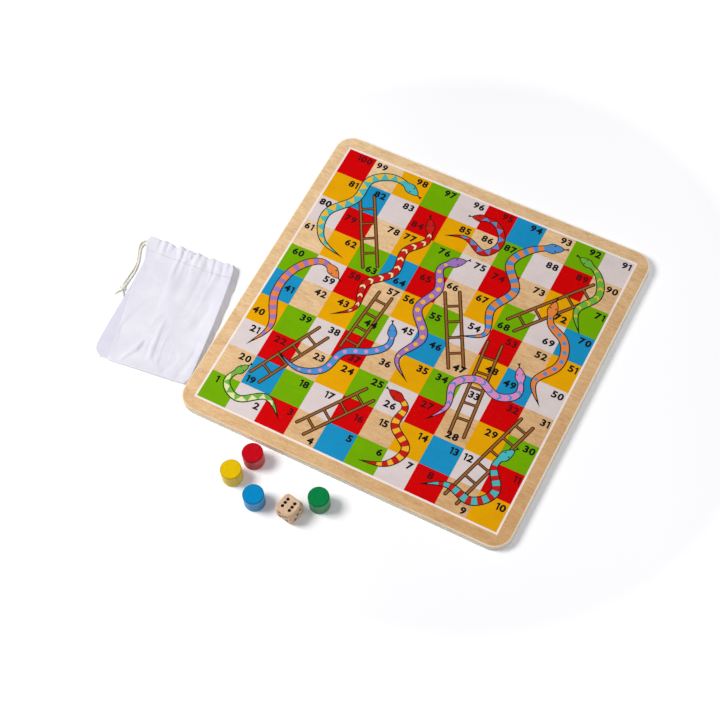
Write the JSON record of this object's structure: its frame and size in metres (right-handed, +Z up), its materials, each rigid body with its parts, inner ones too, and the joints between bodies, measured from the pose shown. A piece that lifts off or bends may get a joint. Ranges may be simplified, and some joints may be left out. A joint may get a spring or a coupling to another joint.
{
  "type": "snakes and ladders board",
  "caption": "Square printed plywood board for snakes and ladders, with round wooden counters, a wooden die and a cotton drawstring bag.",
  "frame": {"origin": "centre of the board's underside, on the table", "axes": "+Z up out of the printed face, +X along the bottom row from square 1 to square 10, +Y towards the top row"},
  "size_m": [0.4085, 0.355, 0.0165],
  "materials": {
    "face_wood": "satin lacquered pale veneer",
    "ply_wood": "raw sawn edge",
    "ink_white": "screen-printed ink, satin",
    "ink_red": "screen-printed ink, satin",
    "ink_yellow": "screen-printed ink, satin",
    "ink_green": "screen-printed ink, satin",
    "ink_blue": "screen-printed ink, satin",
    "ink_brown": "screen-printed ink, satin",
    "ink_black": "screen-printed ink, satin",
    "ink_snake_red": "screen-printed ink, satin",
    "ink_snake_orange": "screen-printed ink, satin",
    "ink_snake_green": "screen-printed ink, satin",
    "ink_snake_teal": "screen-printed ink, satin",
    "ink_snake_blue": "screen-printed ink, satin",
    "ink_snake_purple": "screen-printed ink, satin",
    "ink_snake_pink": "screen-printed ink, satin",
    "ink_snake_yellow": "screen-printed ink, satin",
    "ink_snake_cream": "screen-printed ink, satin",
    "paint_red": "painted wood, semi-gloss",
    "paint_yellow": "painted wood, semi-gloss",
    "paint_blue": "painted wood, semi-gloss",
    "paint_green": "painted wood, semi-gloss",
    "die_wood": "sanded bare beech",
    "pip_paint": "black paint",
    "bag_cotton": "plain woven cotton",
    "drawstring_cotton": "twisted cotton cord"
  },
  "bodies": {
    "board": {"face_veneer": "face_wood", "upper_crossband": "ply_wood", "core_ply": "ply_wood", "lower_crossband": "ply_wood", "back_veneer": "ply_wood", "frame_line": "ink_white", "squares_white": "ink_white", "squares_red": "ink_red", "squares_yellow": "ink_yellow", "squares_green": "ink_green", "squares_blue": "ink_blue", "ladder_outlines": "ink_black", "ladders": "ink_brown", "snake_outlines": "ink_black", "snakes_red": "ink_snake_red", "snakes_orange": "ink_snake_orange", "snakes_green": "ink_snake_green", "snakes_teal": "ink_snake_teal", "snakes_blue": "ink_snake_blue", "snakes_purple": "ink_snake_purple", "snakes_pink": "ink_snake_pink", "marks_yellow": "ink_snake_yellow", "marks_blue": "ink_snake_blue", "marks_cream": "ink_snake_cream", "marks_purple": "ink_snake_purple", "marks_orange": "ink_snake_orange", "marks_red": "ink_snake_red", "marks_pink": "ink_snake_pink", "snake_eyes": "ink_black"},
    "counter_red": {"counter_red": "paint_red"},
    "counter_yellow": {"counter_yellow": "paint_yellow"},
    "counter_blue": {"counter_blue": "paint_blue"},
    "counter_green": {"counter_green": "paint_green"},
    "die": {"die": "die_wood", "die_pips": "pip_paint"},
    "bag": {"bag_back_panel": "bag_cotton", "bag_front_panel": "bag_cotton", "bag_hem": "bag_cotton", "drawstring_end_inner": "drawstring_cotton", "drawstring_end_outer": "drawstring_cotton", "drawstring_knot": "drawstring_cotton"}
  },
  "joints": [
    {"name": "counter_red_lift", "type": "slide", "parent": "board", "child": "counter_red", "axis": [0, 0, 1], "range_m": [0, 0.06]},
    {"name": "counter_yellow_lift", "type": "slide", "parent": "board", "child": "counter_yellow", "axis": [0, 0, 1], "range_m": [0, 0.06]},
    {"name": "counter_blue_lift", "type": "slide", "parent": "board", "child": "counter_blue", "axis": [0, 0, 1], "range_m": [0, 0.06]},
    {"name": "counter_green_lift", "type": "slide", "parent": "board", "child": "counter_green", "axis": [0, 0, 1], "range_m": [0, 0.06]},
    {"name": "die_lift", "type": "slide", "parent": "board", "child": "die", "axis": [0, 0, 1], "range_m": [0, 0.06]},
    {"name": "bag_lift", "type": "slide", "parent": "board", "child": "bag", "axis": [0, 0, 1], "range_m": [0, 0.08]}
  ]
}
